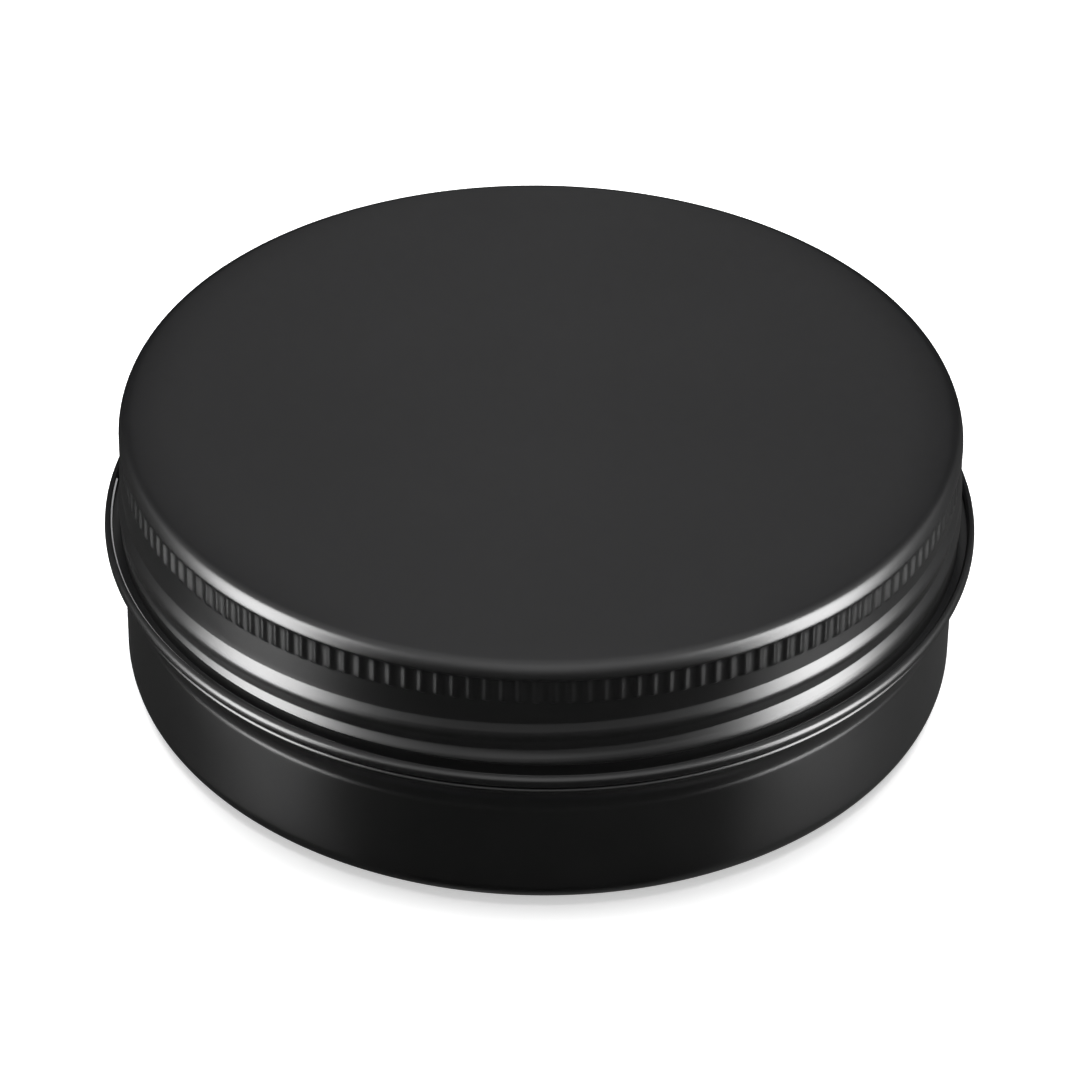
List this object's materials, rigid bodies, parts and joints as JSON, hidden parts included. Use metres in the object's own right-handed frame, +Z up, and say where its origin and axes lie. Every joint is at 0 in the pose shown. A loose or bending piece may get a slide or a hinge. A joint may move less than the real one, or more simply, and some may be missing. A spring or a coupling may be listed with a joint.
{
  "type": "screw-top candle tin",
  "caption": "Shallow round aluminium tin with a knurled screw lid, outward hem, rolled thread and foam liner, black satin coating, supplied empty for candles or salves.",
  "frame": {"origin": "centre of the bottom's rest ring, on the surface that the tin stands on", "axes": "+Z up along the tin's axis, towards the lid; the first thread bead crosses the front (-Y) 7.8 mm below the top"},
  "size_m": [0.083, 0.083, 0.028],
  "materials": {
    "base_coat": "satin black coating on both faces of the sheet, bare aluminium at the cut edge inside the rolled rim",
    "lid_coat": "satin black coating on both faces of the sheet, bare aluminium at the cut edge of the hem",
    "liner_foam": "white expanded polyethylene foam"
  },
  "bodies": {
    "base_body": {"base": "base_coat"},
    "liner_body": {"lid_liner": "liner_foam"},
    "lid_body": {"lid_shell": "lid_coat"}
  },
  "joints": [
    {"name": "lid_rise", "type": "slide", "parent": "base_body", "child": "liner_body", "axis": [0, 0, 1], "range_m": [0, 0.013]},
    {"name": "lid_turn", "type": "hinge", "parent": "liner_body", "child": "lid_body", "pos_m": [0, 0, 0], "axis": [0, 0, 1], "range_deg": [0, 810]}
  ],
  "couplings": [
    {"joint": "lid_rise", "follows": "lid_turn", "m_per_rad": 0.00090718}
  ]
}
